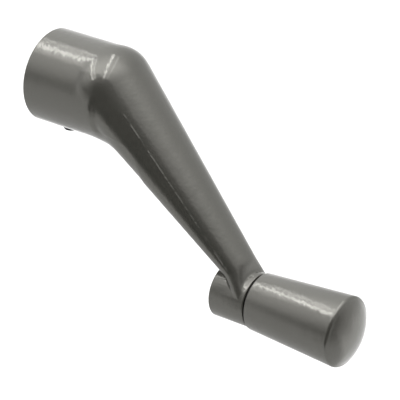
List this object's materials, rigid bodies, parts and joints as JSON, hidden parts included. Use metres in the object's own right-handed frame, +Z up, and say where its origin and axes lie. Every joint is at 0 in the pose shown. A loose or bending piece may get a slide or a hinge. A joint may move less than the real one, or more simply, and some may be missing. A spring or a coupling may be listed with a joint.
{
  "type": "window crank handle",
  "caption": "Painted die-cast crank handle for a casement window operator: splined hub, set screw, slanting arm and a freely turning tapered knob.",
  "frame": {"origin": "centre of the hub's mouth, on the axis of the operator's stud", "axes": "+Y points out of the hub's mouth along the stud's axis, towards the window frame; +Z is up and the arm hangs towards -Z; X = 0 is the plane of symmetry"},
  "size_m": [0.0222, 0.0863, 0.0607],
  "materials": {
    "casting_paint": "glossy warm grey baked paint with fine orange peel over a zinc die casting",
    "knob_paint": "the same glossy warm grey baked paint over a zinc die casting",
    "blackened_steel": "black oxide steel",
    "pin_steel": "bright turned steel",
    "zinc_plated_steel": "bright zinc plate",
    "spring_steel": "oiled spring steel",
    "black_nylon": "matte black nylon"
  },
  "bodies": {
    "crank": {"crank_arm": "casting_paint", "thrust_washer": "black_nylon", "knob_pin": "pin_steel", "peen_washer": "zinc_plated_steel", "snap_ring": "spring_steel"},
    "knob": {"knob": "knob_paint"},
    "set_screw": {"set_screw": "blackened_steel"}
  },
  "joints": [
    {"name": "knob_spin", "type": "hinge", "parent": "crank", "child": "knob", "pos_m": [0, -0.07, -0.0412], "axis": [0, -1, 0], "continuous": true},
    {"name": "set_screw_travel", "type": "slide", "parent": "crank", "child": "set_screw", "axis": [0, 0, -1], "range_m": [-0.0012, 0.003]}
  ]
}
